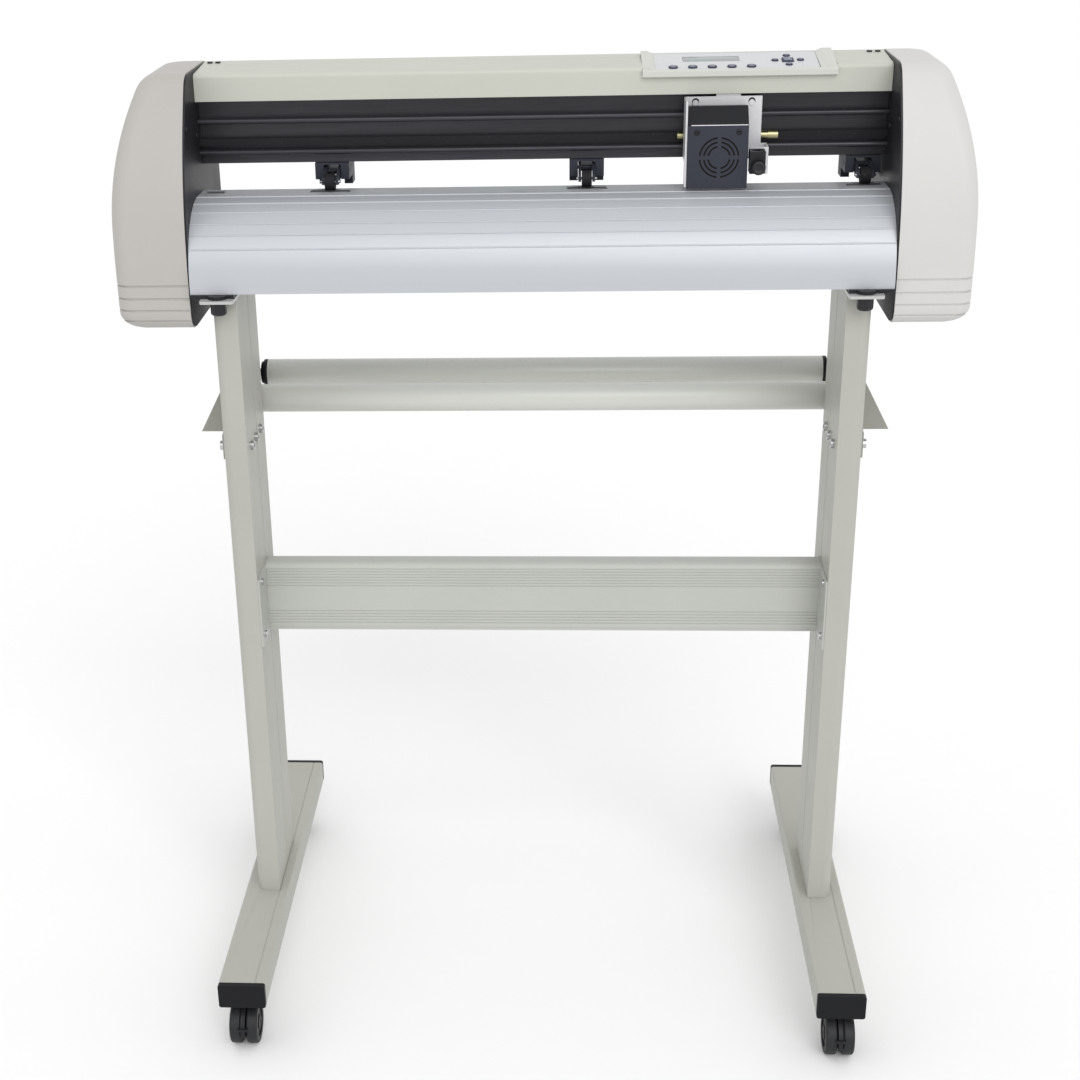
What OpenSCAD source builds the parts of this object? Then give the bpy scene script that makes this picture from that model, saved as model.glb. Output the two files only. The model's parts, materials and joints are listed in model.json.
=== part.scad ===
// Roll-fed vinyl cutting plotter on a caster stand.
// X runs along the machine, Y from front to back, Z up.
// The origin is on the floor in the middle of the feet.

/* [Stand] */
// Distance from the middle to the centre line of each foot
foot_x = 344; // [330:1:350]
// Width of the foot extrusion
foot_w = 55; // [45:1:60]
// Height of the foot extrusion
foot_h = 31; // [26:1:40]
// Length of a foot with its end caps
foot_length = 534; // [500:2:600]
// Height of the underside of the feet above the floor
foot_z = 62; // [61:1:64]
// Wall thickness of the foot extrusion
foot_wall = 2.5; // [2:0.1:3]
// Distance from the middle to the inner face of each upright
upright_x = 328; // [326:1:330]
// Width of an upright, seen from the front
upright_w = 28; // [26:1:30]
// Depth of an upright, seen from the side
upright_d = 118; // [100:2:130]
// Place of the middle of the uprights along Y
upright_y = -8; // [-12:1:0]
// Wall thickness of the upright extrusion
upright_wall = 2.2; // [1.6:0.1:3]
// Height of the top of the uprights
upright_top = 853; // [845:1:855]
// Height of the bottom edge of the cross panel
panel_z = 430; // [300:5:500]
// Height of the cross panel's face
panel_h = 87; // [80:1:100]
// Place of the cross panel's front face along Y
panel_y = -13; // [-20:1:0]

/* [Media rollers] */
// Diameter of the two media roller tubes
roller_d = 33; // [28:1:38]
// Height of the roller axes
roller_z = 694; // [690:1:700]
// Places of the two roller axes along Y
roller_y = [75, 180];
// Half the length of a roller tube
roller_half = 341; // [330:1:345]

/* [Casters] */
// Diameter of a caster wheel
wheel_d = 50; // [46:1:52]
// Width of one of the twin wheels
wheel_w = 13.5; // [12:0.5:14]
// Distance from the swivel axis to the wheel axle
caster_trail = 17; // [14:1:18]
// Distance from the middle to the caster swivels along X
caster_x = 346; // [342:1:348]
// Distance from the middle to the caster swivels along Y
caster_y = 226; // [200:1:228]

/* [Head] */
// Distance from the middle to the inner face of each side plate
side_x = 375; // [372:1:376]
// Thickness of the side plates
side_t = 2; // [1.5:0.5:2]
// Distance from the middle to the widest part of each side cover
head_half = 459; // [455:1:465]
// Height of the bottom edge of the side covers
head_z0 = 818; // [812:1:822]
// Height of the top of the side covers
head_z1 = 1081; // [1081:1:1083]
// Foremost place of the side covers along Y
head_y0 = -77; // [-82:1:-74]
// Rearmost place of the side covers along Y
head_y1 = 137; // [136:1:140]
// Wall thickness of the moulded covers
shell = 2.5; // [2:0.1:2.5]

/* [Carriage] */
// Height of the upper guide rod
rod_hi = 1024; // [1023:1:1025]
// Height of the lower guide rod
rod_lo = 990; // [989:1:991]
// Height of the middle of the carriage belt
belt_z = 1001; // [1000:1:1002]
// Radius of the belt pulleys
pulley_r = 11; // [10:0.5:11]

/* [Media feed] */
// Height of the platen's crest
platen_z = 950; // [949:0.5:951]
// Place of the feed shaft along Y
feed_y = 20; // [18:1:21]
// Radius of the grit rollers
grit_r = 7; // [6.5:0.25:7]
// Radius of the pinch wheels
pinch_r = 9; // [8:0.5:9.5]

/* [Control panel] */
// Tilt of the control panel
panel_tilt = 9; // [8.5:0.1:10]
// Left and right ends of the panel bezel
bezel_x = [110.5, 316.5];
// Left and right ends of the keypad overlay
overlay_x = [124, 299];
// Depth of the keypad overlay, measured along its slope
overlay_d = 64; // [62:1:65]

/* [Hidden] */
$fn = 64;

gap = 0.3;
foot_top = foot_z + foot_h;
wheel_gap = 6;
half_axle = wheel_gap / 2 + wheel_w - 0.5;
cap_t = 6;
upright_y0 = upright_y - upright_d / 2;
upright_y1 = upright_y + upright_d / 2;
upright_x1 = upright_x + upright_w;
bracket_t = 3;
bracket_x0 = upright_x1 + 0.1;
bracket_x1 = bracket_x0 + bracket_t;
bolt_z = 675;
bolt_ys = [-42, -13, 18];
end_plate_t = 2;
end_screws = [[-50, panel_z + 12], [-50, panel_z + panel_h - 8]];
leg_bolt_ys = [-40, 24];
roller_pin_d = 9.9;
plate_t = 3;
plate_front = -97;
clamp_x = 345;
clamp_y = -82;
head_foot_t = 4;
side_x1 = side_x + side_t;
plate_top = upright_top + plate_t;
head_foot_top = plate_top + head_foot_t;
feed_z = platen_z + 0.5 - grit_r;
feed_shaft_d = 7;
rail_y0 = 44;
rail_y1 = 100;
rail_z0 = 977;
rail_z1 = 1047;
rod_y = 35;
rod_r = 3;
pulley_x = 400;
pulley_y = 49;
belt_h = 8;
belt_t = 1.4;
belt_r = pulley_r + gap;
belt_y = pulley_y - belt_r - belt_t / 2;
shelf_z = 985;
motor_w = 42.3;
feed_motor_w = 56.4;
pinch_x = [-230, 52, 352];
pinch_w = 11;
pinch_axis = [feed_y, platen_z + 0.5 + pinch_r + gap];
arm_pivot = [48, 967];
side_screws = [[20, 1012], [-34, 1027]];
grit_windows = [[-368, -348], [-252, -208], [30, 74], [332, 369]];
sensor_window = [-29, -1];
cover_x = [158.5, 222.5];
cover_front = -12;
grille = [192, 986];
knob_pos = [233, -16.4, 977];
knob_stem_d = 4;
tool_bore_y = -6.5;
tool_bore_d = 11.5;
tool_block = [[224.5, -16, 969], [241, 2, 992.5]];
function_keys = [for (i = [0:4]) [143.7 + 20.8 * i, 13]];
nav_pitch = [13.6, 16];
nav_centre = [267, 33];
screen = [155, 216, 33, 52];
panel_front = [22, 1071.4];
rim_slope = 7;
rim_h = 3;
key_d = 9.6;
nav_key_d = 7.2;
enter_key = [12, 13];
switch_pos = [-389, 131, 848];

// ---- helpers ----
function arc(c, r, a0, a1, n = 8) =
    [for (i = [0:n]) c + r * [cos(a0 + (a1 - a0) * i / n), sin(a0 + (a1 - a0) * i / n)]];

function unit(v) = v / norm(v);

// Moves a counter-clockwise outline inwards by d
function inset(p, d) = [
    for (i = [0:len(p) - 1])
        let (
            n = len(p),
            u = unit(p[i] - p[(i + n - 1) % n]),
            v = unit(p[(i + 1) % n] - p[i]),
            a = [-u[1], u[0]],
            b = [-v[1], v[0]]
        )
        p[i] + d * (a + b) / (1 + a * b)
];

module both_sides() {
    children();
    mirror([1, 0, 0]) children();
}

// Extrudes a YZ outline along X
module along_x(x0, x1) {
    translate([x0, 0, 0]) rotate([90, 0, 90]) linear_extrude(x1 - x0) children();
}

// Extrudes an XZ outline along Y
module along_y(y0, y1) {
    translate([0, y1, 0]) rotate([90, 0, 0]) linear_extrude(y1 - y0) children();
}

// Extrudes an XY outline along Z
module along_z(z0, z1) {
    translate([0, 0, z0]) linear_extrude(z1 - z0) children();
}

module rod_x(x0, x1, y, z, d) {
    translate([x0, y, z]) rotate([0, 90, 0]) cylinder(d = d, h = x1 - x0);
}

module rod_y(y0, y1, x, z, d) {
    translate([x, y1, z]) rotate([90, 0, 0]) cylinder(d = d, h = y1 - y0);
}

module rod_z(z0, z1, x, y, d) {
    translate([x, y, z0]) cylinder(d = d, h = z1 - z0);
}

module block(a, b) {
    translate(a) cube(b - a);
}

// Rounded rectangle from corner a to corner b
module rounded(a, b, r) {
    translate([a[0] + r, a[1]]) square([b[0] - a[0] - 2 * r, b[1] - a[1]]);
    translate([a[0], a[1] + r]) square([b[0] - a[0], b[1] - a[1] - 2 * r]);
    for (x = [a[0] + r, b[0] - r], y = [a[1] + r, b[1] - r]) translate([x, y]) circle(r);
}

// ---- stand ----
module foot_section(out = 0) {
    a = [foot_x - foot_w / 2 + out, foot_z + out];
    b = [foot_x + foot_w / 2 - out, foot_top - out];
    rounded(a, b, max(3 - out, 0.6));
}

module foot_beams() {
    half = foot_length / 2 - cap_t;
    color("#b9b7ae") for (s = [-1, 1]) translate([(s - 1) * foot_x, 0, 0]) difference() {
        along_y(-half, half) difference() {
            foot_section();
            foot_section(foot_wall);
            translate([foot_x + 15.5, foot_top]) square([1.2, 1.2], center = true);
        }
        for (y = [-caster_y, caster_y])
            rod_z(foot_z - 1, foot_z + 5, foot_x + s * (caster_x - foot_x), y, 10.1);
        for (y = leg_bolt_ys)
            rod_z(foot_z - 1, foot_top + 1, foot_x + s * (upright_x + upright_w / 2 - foot_x), y, 8.4);
    }
}

module foot_end_caps() {
    half = foot_length / 2 - cap_t;
    color("#26262a") both_sides() for (s = [-1, 1]) scale([1, s, 1]) {
        along_y(half + 0.02, half + cap_t) foot_section();
        along_y(half - 12, half + 0.5) foot_section(foot_wall + 0.1);
    }
}

// Upright section: a deep box with large outer corners and a groove on its inner face
module upright_section(out = 0) {
    x0 = upright_x + out;
    x1 = upright_x1 - out;
    y0 = upright_y0 + out;
    y1 = upright_y1 - out;
    r = 11 - out;
    flat_w = x1 - x0 - r;
    translate([x0, y0]) square([flat_w, y1 - y0]);
    translate([x0, y0 + r]) square([x1 - x0, y1 - y0 - 2 * r]);
    for (y = [y0 + r, y1 - r]) translate([x1 - r, y]) circle(r);
}

module uprights() {
    color("#bfc0b8") both_sides() difference() {
        along_z(foot_top, upright_top) difference() {
            upright_section();
            upright_section(upright_wall);
            translate([upright_x, 0]) square([3.4, 2.4], center = true);
        }
        for (y = bolt_ys) rod_x(upright_x - 1, upright_x1 + 1, y, bolt_z, 6.6);
        for (p = end_screws) rod_x(upright_x - 1, upright_x + 5, p[0], p[1], 4.4);
    }
}

// Cross panel: hollow board with a rounded top bead and two bands of fine ribs
module cross_panel() {
    depth = 22;
    bead_r = 8;
    top = panel_z + panel_h;
    ribs = concat([for (i = [0:6]) panel_z + 58 + 3.6 * i], [for (i = [0:4]) panel_z + 10 + 3.8 * i]);
    x1 = upright_x - end_plate_t + 0.5;
    color("#c3c4bc") {
        along_x(-x1, x1) difference() {
            union() {
                translate([panel_y, panel_z]) square([depth, panel_h - bead_r]);
                translate([panel_y + bead_r, top - bead_r]) square([depth - bead_r, bead_r]);
                translate([panel_y + bead_r, top - bead_r]) circle(bead_r);
            }
            translate([panel_y + 2.4, panel_z + 2.4]) square([depth - 4.8, panel_h - 12]);
            for (z = ribs) translate([panel_y, z]) square([1.2, 1.4], center = true);
            translate([panel_y - 1, panel_z - 1]) square([2, 5]);
        }
        both_sides() difference() {
            along_x(upright_x - end_plate_t, upright_x) rounded([-66, panel_z], [12, top], 2);
            for (p = end_screws) rod_x(upright_x - 10, upright_x + 1, p[0], p[1], 4.4);
        }
    }
}

module stand_plates() {
    color("#d8d8d2") both_sides() difference() {
        along_z(upright_top, plate_top) rounded([326, plate_front], [363, upright_y1], 3);
        rod_z(upright_top - 1, plate_top + 1, clamp_x, clamp_y, 6.6);
    }
}

// Roll bracket: a side arm bolted to the upright, with a triangular gusset behind it
module roll_brackets() {
    arm = [[-50, 661], [60, 660], [205, 676], [205, 708], [188, 716], [60, 716], [-50, 689]];
    gusset = [[bracket_x1, 660], [404, 660], [bracket_x1, 745]];
    color("#a9a8a2") both_sides() difference() {
        union() {
            along_x(bracket_x0, bracket_x1) polygon(arm);
            along_x(bracket_x0, bracket_x1) polygon([[upright_y1 + 1, 700], [upright_y1 + 4, 700],
                [upright_y1 + 4, 745], [upright_y1 + 1, 745]]);
            along_y(upright_y1 + 1, upright_y1 + 4) polygon(gusset);
        }
        for (y = bolt_ys) rod_x(upright_x1 - 1, bracket_x1 + 1, y, bolt_z, 6.6);
        for (y = roller_y) rod_x(upright_x1 - 1, bracket_x1 + 1, y, roller_z, roller_pin_d + 0.1);
    }
}

// Socket-head bolt through a wall, with a cap nut's round head at its other end
module bolt_x(x0, x1, y, z, d, head) {
    head_h = 4;
    difference() {
        union() {
            rod_x(x0 - head_h, x0, y, z, head);
            rod_x(x0 - 0.5, x1 + 0.5, y, z, d);
            rod_x(x1, x1 + head_h, y, z, head);
        }
        rod_x(x0 - head_h - 1, x0 - head_h + 2.5, y, z, 0.6 * head, $fn = 6);
    }
}

module fasteners() {
    color("#c9c9c9") both_sides() {
        for (y = bolt_ys) bolt_x(upright_x, bracket_x1, y, bolt_z, 6, 10.5);
        for (p = end_screws) {
            rod_x(upright_x - end_plate_t - 2.5, upright_x - end_plate_t, p[0], p[1], 8);
            rod_x(upright_x - end_plate_t - 0.5, upright_x + 8, p[0], p[1], 4);
        }
        for (y = leg_bolt_ys) {
            rod_z(foot_z - 5, foot_z, upright_x + upright_w / 2, y, 13);
            rod_z(foot_z - 1, foot_top + 16, upright_x + upright_w / 2, y, 8);
        }
        for (x = [-367, -358]) {
            rod_z(1080, 1081.4, -x, 86, 6);
            rod_z(1073, 1080.5, -x, 86, 3);
        }
        for (p = side_screws) {
            rod_x(side_x - 1.2, side_x, p[0], p[1], 6);
            rod_x(side_x - 0.5, side_x1 + 5, p[0], p[1], 3);
        }
    }
}

// ---- casters, drawn at the origin with the swivel axis on Z ----
module caster_fork() {
    axle = [-caster_trail, wheel_d / 2];
    ring = wheel_d / 2 + 1.2;
    half = wheel_gap / 2 + wheel_w;
    difference() {
        union() {
            rod_z(foot_z - 1, foot_z + 20, 0, 0, 10);
            rod_z(foot_z - 7.5, foot_z - gap, 0, 0, 22);
            block([-8, -2, foot_z - 14], [8, 10, foot_z - 6]);
            along_x(-wheel_gap / 2 + 0.5, wheel_gap / 2 - 0.5) {
                translate(axle) circle(9);
                polygon([axle + [-9, 0], axle + [9, 0], [11, 44], [11, foot_z - 6], [-11, foot_z - 6],
                    axle + [-9, 18]]);
                intersection() {
                    translate(axle) circle(ring + 1);
                    polygon([axle, axle + [0, 40], axle + [-60, 40], axle + [-60, -14]]);
                }
            }
            along_x(-half, half) intersection() {
                translate(axle) difference() {
                    circle(ring + 2.5);
                    circle(ring);
                }
                polygon([axle, axle + [60, 8], axle + [60, 60], axle + [-14, 60]]);
            }
            block([-5.5, axle[0] - ring - 2, axle[1] + 5.5], [5.5, axle[0] - ring + 1, axle[1] + 8.5]);
        }
        rod_x(-20, 20, axle[0], axle[1], 6.2);
    }
}

module caster_wheel_pair() {
    for (s = [-1, 1])
        translate([s * (wheel_gap + wheel_w) / 2, -caster_trail, wheel_d / 2]) rotate([0, s * 90, 0])
            translate([0, 0, -wheel_w / 2]) rotate_extrude() difference() {
                rounded([0, 0], [wheel_d / 2, wheel_w], 2.8);
                translate([-1, -1]) square([1 + 3.05, wheel_w + 2]);
                translate([8, wheel_w - 2]) square([9, 4]);
            }
    rod_x(-half_axle, half_axle, -caster_trail, wheel_d / 2, 6);
}

module at_caster(sx, sy) {
    translate([sx * caster_x, sy * caster_y, 0]) rotate(sy > 0 ? sx * 90 : 0) children();
}

module caster_fork_front_left() { color("#222226") at_caster(-1, -1) caster_fork(); }
module caster_fork_front_right() { color("#222226") at_caster(1, -1) caster_fork(); }
module caster_fork_rear_left() { color("#222226") at_caster(-1, 1) caster_fork(); }
module caster_fork_rear_right() { color("#222226") at_caster(1, 1) caster_fork(); }
module caster_wheels_front_left() { color("#333338") at_caster(-1, -1) caster_wheel_pair(); }
module caster_wheels_front_right() { color("#333338") at_caster(1, -1) caster_wheel_pair(); }
module caster_wheels_rear_left() { color("#333338") at_caster(-1, 1) caster_wheel_pair(); }
module caster_wheels_rear_right() { color("#333338") at_caster(1, 1) caster_wheel_pair(); }

// ---- media rollers: a tube with a pinned cap in each end ----
module media_roller(y) {
    bore = roller_d - 3;
    difference() {
        rod_x(-roller_half, roller_half, y, roller_z, roller_d);
        rod_x(-roller_half - 1, roller_half + 1, y, roller_z, bore);
    }
    both_sides() {
        rod_x(roller_half - 14, roller_half + 0.5, y, roller_z, bore - 0.1);
        rod_x(roller_half + 0.05, roller_half + 5, y, roller_z, roller_d);
        rod_x(roller_half + 4, roller_half + 9, y, roller_z, 27);
        rod_x(roller_half + 8, bracket_x1 + 1, y, roller_z, roller_pin_d);
    }
}

module media_roller_front() { color("#c8c9c3") media_roller(roller_y[0]); }
module media_roller_rear() { color("#b5b5ad") media_roller(roller_y[1]); }

// ---- clamp knobs under the stand's top plates ----
module clamp_knob(x) {
    h = 15;
    r = 8.7;
    translate([x, clamp_y, upright_top - gap - h]) rotate_extrude() {
        translate([0, 3]) square([r, h - 3]);
        square([r - 3, h]);
        translate([r - 3, 3]) circle(3);
    }
    rod_z(upright_top - 2, head_foot_top - 1, x, clamp_y, 6);
}

module clamp_knob_left() { color("#1d1d22") clamp_knob(-clamp_x); }
module clamp_knob_right() { color("#1d1d22") clamp_knob(clamp_x); }

// ---- head: side profile shared by the covers and the side plates ----
front_r = 340;
front_tangent_z = 880;
function side_profile() = concat(
    arc([head_y0 + 20, head_z0 + 20], 20, 270, 180, 6),
    [for (i = [0:9]) let (z = front_tangent_z + 18.5 * i)
        [head_y0 + front_r - sqrt(pow(front_r, 2) - pow(z - front_tangent_z, 2)), z]],
    arc([head_y0 + 76, head_z1 - 24], 24, 142, 90, 5),
    arc([head_y1 - 40, head_z1 - 40], 40, 90, 0, 8),
    arc([head_y1 - 10, head_z0 + 10], 10, 0, -90, 4)
);

function counter(p) = [for (i = [len(p) - 1:-1:0]) p[i]];

// Front outline of one cover, from the side plate to its bowed outer face
function front_outline(x_in) = concat(
    [[x_in, head_z0]],
    arc([head_half - 20, head_z0 + 20], 20, -90, 0, 6),
    [for (i = [0:8]) let (z = 930 + 16 * i)
        [head_half - 350 + sqrt(pow(350, 2) - pow(z - 930, 2)), z]],
    arc([head_half - 44, head_z1 - 18], 18, 22, 90, 5),
    [[x_in, head_z1]]
);

module side_cover() {
    profile = counter(side_profile());
    difference() {
        intersection() {
            along_x(side_x1, head_half + 1) polygon(profile);
            along_y(head_y0 - 1, head_y1 + 1) polygon(front_outline(side_x1 - 1));
            along_z(head_z0 - 1, head_z1 + 1) rounded([side_x1 - 40, head_y0], [head_half, head_y1], 18);
        }
        intersection() {
            along_x(side_x1 - 1, head_half) polygon(inset(profile, shell));
            along_y(head_y0, head_y1) polygon(inset(front_outline(side_x1 - 8), shell));
        }
        for (z = [868, 854, 841, 829]) along_z(z - 0.8, z + 0.8) difference() {
            translate([side_x1 - 1, head_y0 - 2]) square([head_half - side_x1 + 3, head_y1 - head_y0 + 4]);
            rounded([side_x1 - 40, head_y0 + 1], [head_half - 1, head_y1 - 1], 17);
        }
    }
}

module side_cover_left() {
    color("#c8c4be") difference() {
        mirror([1, 0, 0]) side_cover();
        block([-428.4, 130, 835.6], [-399.6, 140, 860.4]);
        block([-396.4, 130, 837.4], [-381.6, 140, 858.6]);
    }
}

module side_cover_right() { color("#d5d2cd") side_cover(); }

// Side plate with its mounting foot, motor shelf and top tab
module side_plates() {
    profile = inset(counter(side_profile()), 1.5);
    color("#2b2b30") both_sides() difference() {
        union() {
            along_x(side_x, side_x1) polygon(profile);
            block([327, -85, plate_top], [side_x + 0.5, 50, head_foot_top]);
            rod_z(plate_top, head_foot_top, clamp_x, clamp_y, 22);
            block([side_x1 - 0.5, 27, shelf_z], [425, 71, shelf_z + 3]);
            block([354, 76, 1074], [side_x + 0.5, 96, 1077]);
        }
        rod_x(side_x - 1, side_x1 + 1, feed_y, feed_z, feed_shaft_d + 0.1);
        rod_z(shelf_z - 1, shelf_z + 4, pulley_x, pulley_y, 5.1);
        rod_z(plate_top - 1, head_foot_top + 1, clamp_x, clamp_y, 6.1);
        for (y = [belt_y, 2 * pulley_y - belt_y])
            block([side_x - 1, y - 3, belt_z - 7], [side_x1 + 1, y + 3, belt_z + 7]);
        for (x = [367, 358]) rod_z(1070, 1079, x, 86, 3.3);
        for (p = side_screws) rod_x(side_x - 1, side_x1 + 1, p[0], p[1], 3.3);
    }
}

// Top cover: a channel with rounded edges and a top that falls to the front, cut away for the control panel
module top_cover() {
    outline = concat([[104, rail_z1], [104, 1075.5]], arc([99, 1075.5], 5, 0, 90, 5),
        arc([28, 1071.6], 5, 90, 180, 5), [[23, rail_z1]]);
    inside = [[102, rail_z1 - 1], [102, 1076], [99, 1078.4], [29, 1074.6], [25, 1071.5], [25, rail_z1 - 1]];
    x1 = side_x - 0.2;
    color("#cbcbc0") difference() {
        along_x(-x1, x1) difference() {
            polygon(outline);
            polygon(inside);
            translate([77, 1079.3]) square([1.4, 1.2], center = true);
        }
        block([bezel_x[0] - 0.1, 20, 1067.2], [bezel_x[1] + 0.1, 89.1, 1082]);
        for (x = [-367, -358, 358, 367]) rod_z(1075, 1082, x, 86, 3.3);
    }
}

// Guide rail: hollow beam with two round guide rods on its front and a slot underneath
module guide_rail() {
    w = 3;
    mid = (rail_y0 + rail_y1) / 2;
    color("#2e2e33") along_x(-side_x, side_x) {
        difference() {
            translate([rail_y0, rail_z0]) square([rail_y1 - rail_y0, rail_z1 - rail_z0]);
            translate([rail_y0 + w, rail_z0 + 14]) square([rail_y1 - rail_y0 - 2 * w, rail_z1 - rail_z0 - 14 - w]);
            translate([mid - 4, rail_z0 - 1]) square([8, 6]);
            translate([mid - 8, rail_z0 + 4]) square([16, 7]);
        }
        for (z = [rod_lo, rod_hi]) {
            translate([rod_y, z]) circle(rod_r);
            translate([rod_y, z - 1.2]) square([rail_y0 - rod_y + 1, 2.4]);
        }
    }
}

// Height of the platen's curved front at a given Y: a quarter of a superellipse
platen_nose = [2, 860];
nose_power = 2.2;
function nose_z(y) = platen_nose[1] + (platen_z - platen_nose[1])
    * pow(1 - pow((platen_nose[0] - y) / platen_depth, nose_power), 1 / nose_power);

platen_depth = 84;
platen_front = [for (a = [0:5:85]) let (y = platen_nose[0] - platen_depth * cos(a)) [y, nose_z(y)]];
platen_rear = [[2, platen_z], [32, platen_z], [52, 946], [70, 936], [82, 920], [86, 900], [86, 860]];
platen_bead_ys = [-7.8, -26.4, -41.6, -54.8, -64.1, -72.5];

module platen() {
    outline = counter(concat(platen_front, platen_rear));
    x1 = side_x - 0.2;
    color("#cdd0d6") difference() {
        along_x(-x1, x1) difference() {
            union() {
                polygon(outline);
                for (y = platen_bead_ys) translate([y, nose_z(y)]) circle(0.9, $fn = 24);
            }
            polygon(inset(outline, shell));
        }
        for (w = grit_windows)
            block([w[0], feed_y - grit_r - 1.5, platen_z - 6], [w[1], feed_y + grit_r + 1.5, platen_z + 2]);
        block([sensor_window[0], 2, platen_z - 8], [sensor_window[1], 7, platen_z + 2]);
    }
}

// ---- media feed ----
module feed_shaft() {
    color("#8d8f93") {
        rod_x(-400, 381, feed_y, feed_z, feed_shaft_d);
        for (w = grit_windows) rod_x(w[0] + 1.5, w[1] - 1.5, feed_y, feed_z, 2 * grit_r);
    }
}

module stepper_motors() {
    color("#3a3a3e") {
        difference() {
            block([pulley_x - motor_w / 2, pulley_y - motor_w / 2, shelf_z - 48],
                [pulley_x + motor_w / 2, pulley_y + motor_w / 2, shelf_z]);
            rod_z(shelf_z - 22, shelf_z + 1, pulley_x, pulley_y, 5.1);
        }
        difference() {
            block([-side_x1 - 50, feed_y - feed_motor_w / 2, feed_z - feed_motor_w / 2],
                [-side_x1, feed_y + feed_motor_w / 2, feed_z + feed_motor_w / 2]);
            rod_x(-side_x1 - 26, -side_x1 + 1, feed_y, feed_z, feed_shaft_d + 0.1);
        }
    }
}

// ---- carriage drive ----
module pulley(bottom) {
    rod_z(bottom, belt_z + 7, 0, 0, 5);
    rod_z(belt_z - 6.5, belt_z + 6.5, 0, 0, 2 * pulley_r);
    for (z = [belt_z - 6.5, belt_z + 5]) rod_z(z, z + 1.5, 0, 0, 2 * pulley_r + 5);
}

module drive_pulley() { color("#b8babd") translate([pulley_x, pulley_y, 0]) pulley(shelf_z - 20); }
module idler_pulley() { color("#b8babd") translate([-pulley_x, pulley_y, 0]) pulley(shelf_z - 3); }

module carriage_belt() {
    color("#17171a") along_z(belt_z - belt_h / 2, belt_z + belt_h / 2) {
        for (s = [-1, 1]) translate([s * pulley_x, pulley_y]) difference() {
            circle(belt_r + belt_t);
            circle(belt_r);
            translate([s < 0 ? 0 : -30, -30]) square([30, 60]);
        }
        for (y = [pulley_y - belt_r - belt_t, pulley_y + belt_r])
            translate([-pulley_x, y]) square([2 * pulley_x, belt_t]);
    }
}

// ---- carriage ----
module guide_roller(x, z, r) {
    rod_y(28, rod_y, x, z, r);
    rod_y(rod_y - 3, rod_y + 3, x, z, 2 * r);
}

module carriage_plate() {
    color("#d0d2d6") difference() {
        union() {
            along_y(26, 28.5) polygon([[158, 984], [239, 984], [239, 1044], [216, 1044], [216, 1046.8],
                [190, 1046.8], [190, 1044], [158, 1044]]);
            block([156, -10, 978.5], [158, 28.5, 1044]);
            block([156, -10, 955], [158, 8, 980]);
            for (x = [168, 228]) {
                guide_roller(x, rod_hi + rod_r + 8 + gap, 8);
                guide_roller(x, rod_lo - rod_r - 5 - gap, 5);
                rod_y(24.5, 26.5, x, 1037.5, 6);
            }
            block([226, 2.4, 965.5], [245.5, 4.4, 994]);
            block([244, 2.4, 984], [245.5, 28.5, 994]);
            block([236, 26, 984], [245.5, 28.5, 994]);
        }
        for (x = [168, 228]) difference() {
            rod_y(25, 30, x, 1038.7, 7.6);
            rod_y(24, 31, x, 1037.3, 6.4);
        }
    }
}

// Fan grille: three broken rings through the cover's front
module grille_slots() {
    for (r = [21.5, 17, 12.5]) difference() {
        circle(r);
        circle(r - 2);
        for (a = [0, 90]) rotate(a) square([60, 4], center = true);
    }
}

module carriage_cover() {
    outline = [[cover_front, 953], [8, 953], [8, 979], [24, 979], [24, 1035], [6, 1037], [cover_front, 1020]];
    color("#34353b") difference() {
        along_x(cover_x[0], cover_x[1]) polygon(outline);
        along_x(cover_x[0] + 1.8, cover_x[1] - 1.8) polygon(inset(outline, 1.8));
        block([cover_x[0] + 1.8, 5, 981], [cover_x[1] - 1.8, 30, 1033]);
        along_y(cover_front - 1, cover_front + 5) translate(grille) grille_slots();
    }
}

module tool_solenoid() {
    color("#3a3330") {
        rod_z(984, 1014.2, 190, 6, 19);
        block([178, -9, 1014], [202, 26, 1017]);
    }
}

module belt_clamps() {
    color("#a08c50") for (c = [[150, 156, 8.5], [239.5, 247, 8.5], [247, 258, 10]]) difference() {
        rod_x(c[0], c[1] + (c[0] == 239.5 ? 0.5 : 0), belt_y, belt_z, c[2]);
        block([c[0] - 1, belt_y - 1.1, belt_z - 4.6], [c[1] + 2, belt_y + 1.1, belt_z + 4.6]);
    }
}

// Tool slide: a block with an open clamping bore for the blade holder
module tool_slide() {
    color("#202024") difference() {
        block(tool_block[0], tool_block[1]);
        rod_z(tool_block[0][2] - 1, tool_block[1][2] + 1, knob_pos[0], tool_bore_y, tool_bore_d);
        rod_y(tool_block[0][1] - 1, tool_bore_y, knob_pos[0], knob_pos[2], knob_stem_d + 0.1);
    }
}

module tool_knob() {
    color("#18181b") {
        rod_y(-29, knob_pos[1], knob_pos[0], knob_pos[2], 15.4);
        rod_y(knob_pos[1] - 1, tool_bore_y - tool_bore_d / 2 - gap, knob_pos[0], knob_pos[2], knob_stem_d);
    }
}

// ---- pinch roller units ----
module pinch_slider(x) {
    mid = (rail_y0 + rail_y1) / 2;
    color("#26262a") difference() {
        union() {
            block([x - 19, 40, 958.5], [x + 19, 92, rail_z0 - gap]);
            block([x - 19, 70, 948], [x + 19, 92, 960]);
            block([x - 16, mid - 3.6, rail_z0 - 1], [x + 16, mid + 3.6, rail_z0 + 5]);
            block([x - 16, mid - 7.6, rail_z0 + 4.4], [x + 16, mid + 7.6, rail_z0 + 10.5]);
        }
        block([x - 9.5, 30, 940], [x + 9.5, 100, rail_z0 - 2.6]);
        rod_x(x - 20, x + 20, arm_pivot[0], arm_pivot[1], 4.1);
    }
}

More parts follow.
